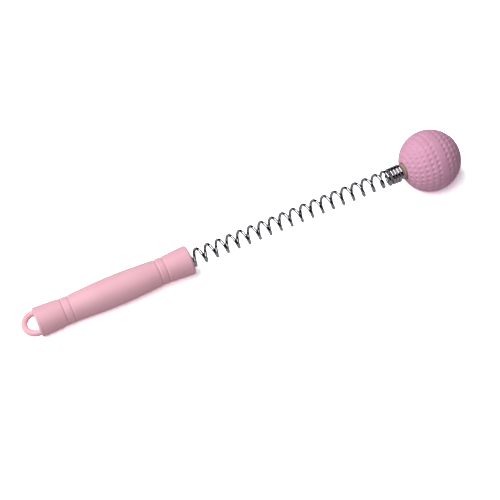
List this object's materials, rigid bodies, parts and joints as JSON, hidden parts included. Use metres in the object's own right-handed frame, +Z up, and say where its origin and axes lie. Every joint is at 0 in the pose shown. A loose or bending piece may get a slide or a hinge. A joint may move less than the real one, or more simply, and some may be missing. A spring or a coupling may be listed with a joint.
{
  "type": "spring-shaft tapping stick",
  "caption": "Short hand-held stick with a moulded grip, a flexible open-coil spring for a shaft and a dimpled rubber ball on its end; the shaft bends and springs back.",
  "frame": {"origin": "on the surface the stick lies on, under the middle of its bounding box", "axes": "+X runs along the stick from the hang loop to the ball, +Z is up; the stick leans a little, resting on the rim of its butt and on its ball"},
  "size_m": [0.3666, 0.0496, 0.0496],
  "materials": {
    "grip_plastic": "soft satin moulded plastic, powder pink",
    "spring_steel": "bright plated spring wire",
    "plug_plastic": "matt tan plastic",
    "ball_rubber": "soft satin rubber, cool pink, dimpled"
  },
  "bodies": {
    "handle": {"handle_shell": "grip_plastic", "end_cap": "grip_plastic", "spring_anchor": "plug_plastic", "spring_root": "spring_steel"},
    "spring_01": {"spring_link_01": "spring_steel"},
    "spring_02": {"spring_link_02": "spring_steel"},
    "spring_03": {"spring_link_03": "spring_steel"},
    "spring_04": {"spring_link_04": "spring_steel"},
    "spring_05": {"spring_link_05": "spring_steel"},
    "spring_06": {"spring_link_06": "spring_steel"},
    "spring_07": {"spring_link_07": "spring_steel"},
    "spring_08": {"spring_link_08": "spring_steel"},
    "spring_09": {"spring_link_09": "spring_steel"},
    "spring_10": {"spring_link_10": "spring_steel"},
    "spring_11": {"spring_link_11": "spring_steel"},
    "head": {"spring_tip": "spring_steel", "ball_plug": "plug_plastic", "rubber_ball": "ball_rubber"}
  },
  "joints": [
    {"name": "bend_up_1", "type": "hinge", "parent": "handle", "child": "spring_01", "pos_m": [-0.04807, 0, 0.01638], "axis": [0, -1, 0], "range_deg": [-10, 10], "stiffness_Nm_per_rad": 2.65},
    {"name": "bend_side_1", "type": "hinge", "parent": "spring_01", "child": "spring_02", "pos_m": [-0.03679, 0, 0.01684], "axis": [-0.0407, 0, 0.9992], "range_deg": [-10, 10], "stiffness_Nm_per_rad": 2.65},
    {"name": "bend_up_2", "type": "hinge", "parent": "spring_02", "child": "spring_03", "pos_m": [-0.021, 0, 0.01749], "axis": [0, -1, 0], "range_deg": [-10, 10], "stiffness_Nm_per_rad": 2.65},
    {"name": "bend_side_2", "type": "hinge", "parent": "spring_03", "child": "spring_04", "pos_m": [-0.00972, 0, 0.01794], "axis": [-0.0407, 0, 0.9992], "range_deg": [-10, 10], "stiffness_Nm_per_rad": 2.65},
    {"name": "bend_up_3", "type": "hinge", "parent": "spring_04", "child": "spring_05", "pos_m": [0.00607, 0, 0.01859], "axis": [0, -1, 0], "range_deg": [-10, 10], "stiffness_Nm_per_rad": 2.65},
    {"name": "bend_side_3", "type": "hinge", "parent": "spring_05", "child": "spring_06", "pos_m": [0.01734, 0, 0.01905], "axis": [-0.0407, 0, 0.9992], "range_deg": [-10, 10], "stiffness_Nm_per_rad": 2.65},
    {"name": "bend_up_4", "type": "hinge", "parent": "spring_06", "child": "spring_07", "pos_m": [0.03313, 0, 0.01969], "axis": [0, -1, 0], "range_deg": [-10, 10], "stiffness_Nm_per_rad": 2.65},
    {"name": "bend_side_4", "type": "hinge", "parent": "spring_07", "child": "spring_08", "pos_m": [0.04441, 0, 0.02015], "axis": [-0.0407, 0, 0.9992], "range_deg": [-10, 10], "stiffness_Nm_per_rad": 2.65},
    {"name": "bend_up_5", "type": "hinge", "parent": "spring_08", "child": "spring_09", "pos_m": [0.0602, 0, 0.0208], "axis": [0, -1, 0], "range_deg": [-10, 10], "stiffness_Nm_per_rad": 2.65},
    {"name": "bend_side_5", "type": "hinge", "parent": "spring_09", "child": "spring_10", "pos_m": [0.07148, 0, 0.02125], "axis": [-0.0407, 0, 0.9992], "range_deg": [-10, 10], "stiffness_Nm_per_rad": 2.65},
    {"name": "bend_up_6", "type": "hinge", "parent": "spring_10", "child": "spring_11", "pos_m": [0.08727, 0, 0.0219], "axis": [0, -1, 0], "range_deg": [-10, 10], "stiffness_Nm_per_rad": 2.65},
    {"name": "bend_side_6", "type": "hinge", "parent": "spring_11", "child": "head", "pos_m": [0.09855, 0, 0.02236], "axis": [-0.0407, 0, 0.9992], "range_deg": [-10, 10], "stiffness_Nm_per_rad": 2.65}
  ],
  "couplings": [
    {"joint": "bend_up_2", "follows": "bend_up_1", "ratio": 1},
    {"joint": "bend_side_2", "follows": "bend_side_1", "ratio": 1},
    {"joint": "bend_up_3", "follows": "bend_up_1", "ratio": 1},
    {"joint": "bend_side_3", "follows": "bend_side_1", "ratio": 1},
    {"joint": "bend_up_4", "follows": "bend_up_1", "ratio": 1},
    {"joint": "bend_side_4", "follows": "bend_side_1", "ratio": 1},
    {"joint": "bend_up_5", "follows": "bend_up_1", "ratio": 1},
    {"joint": "bend_side_5", "follows": "bend_side_1", "ratio": 1},
    {"joint": "bend_up_6", "follows": "bend_up_1", "ratio": 1},
    {"joint": "bend_side_6", "follows": "bend_side_1", "ratio": 1}
  ]
}
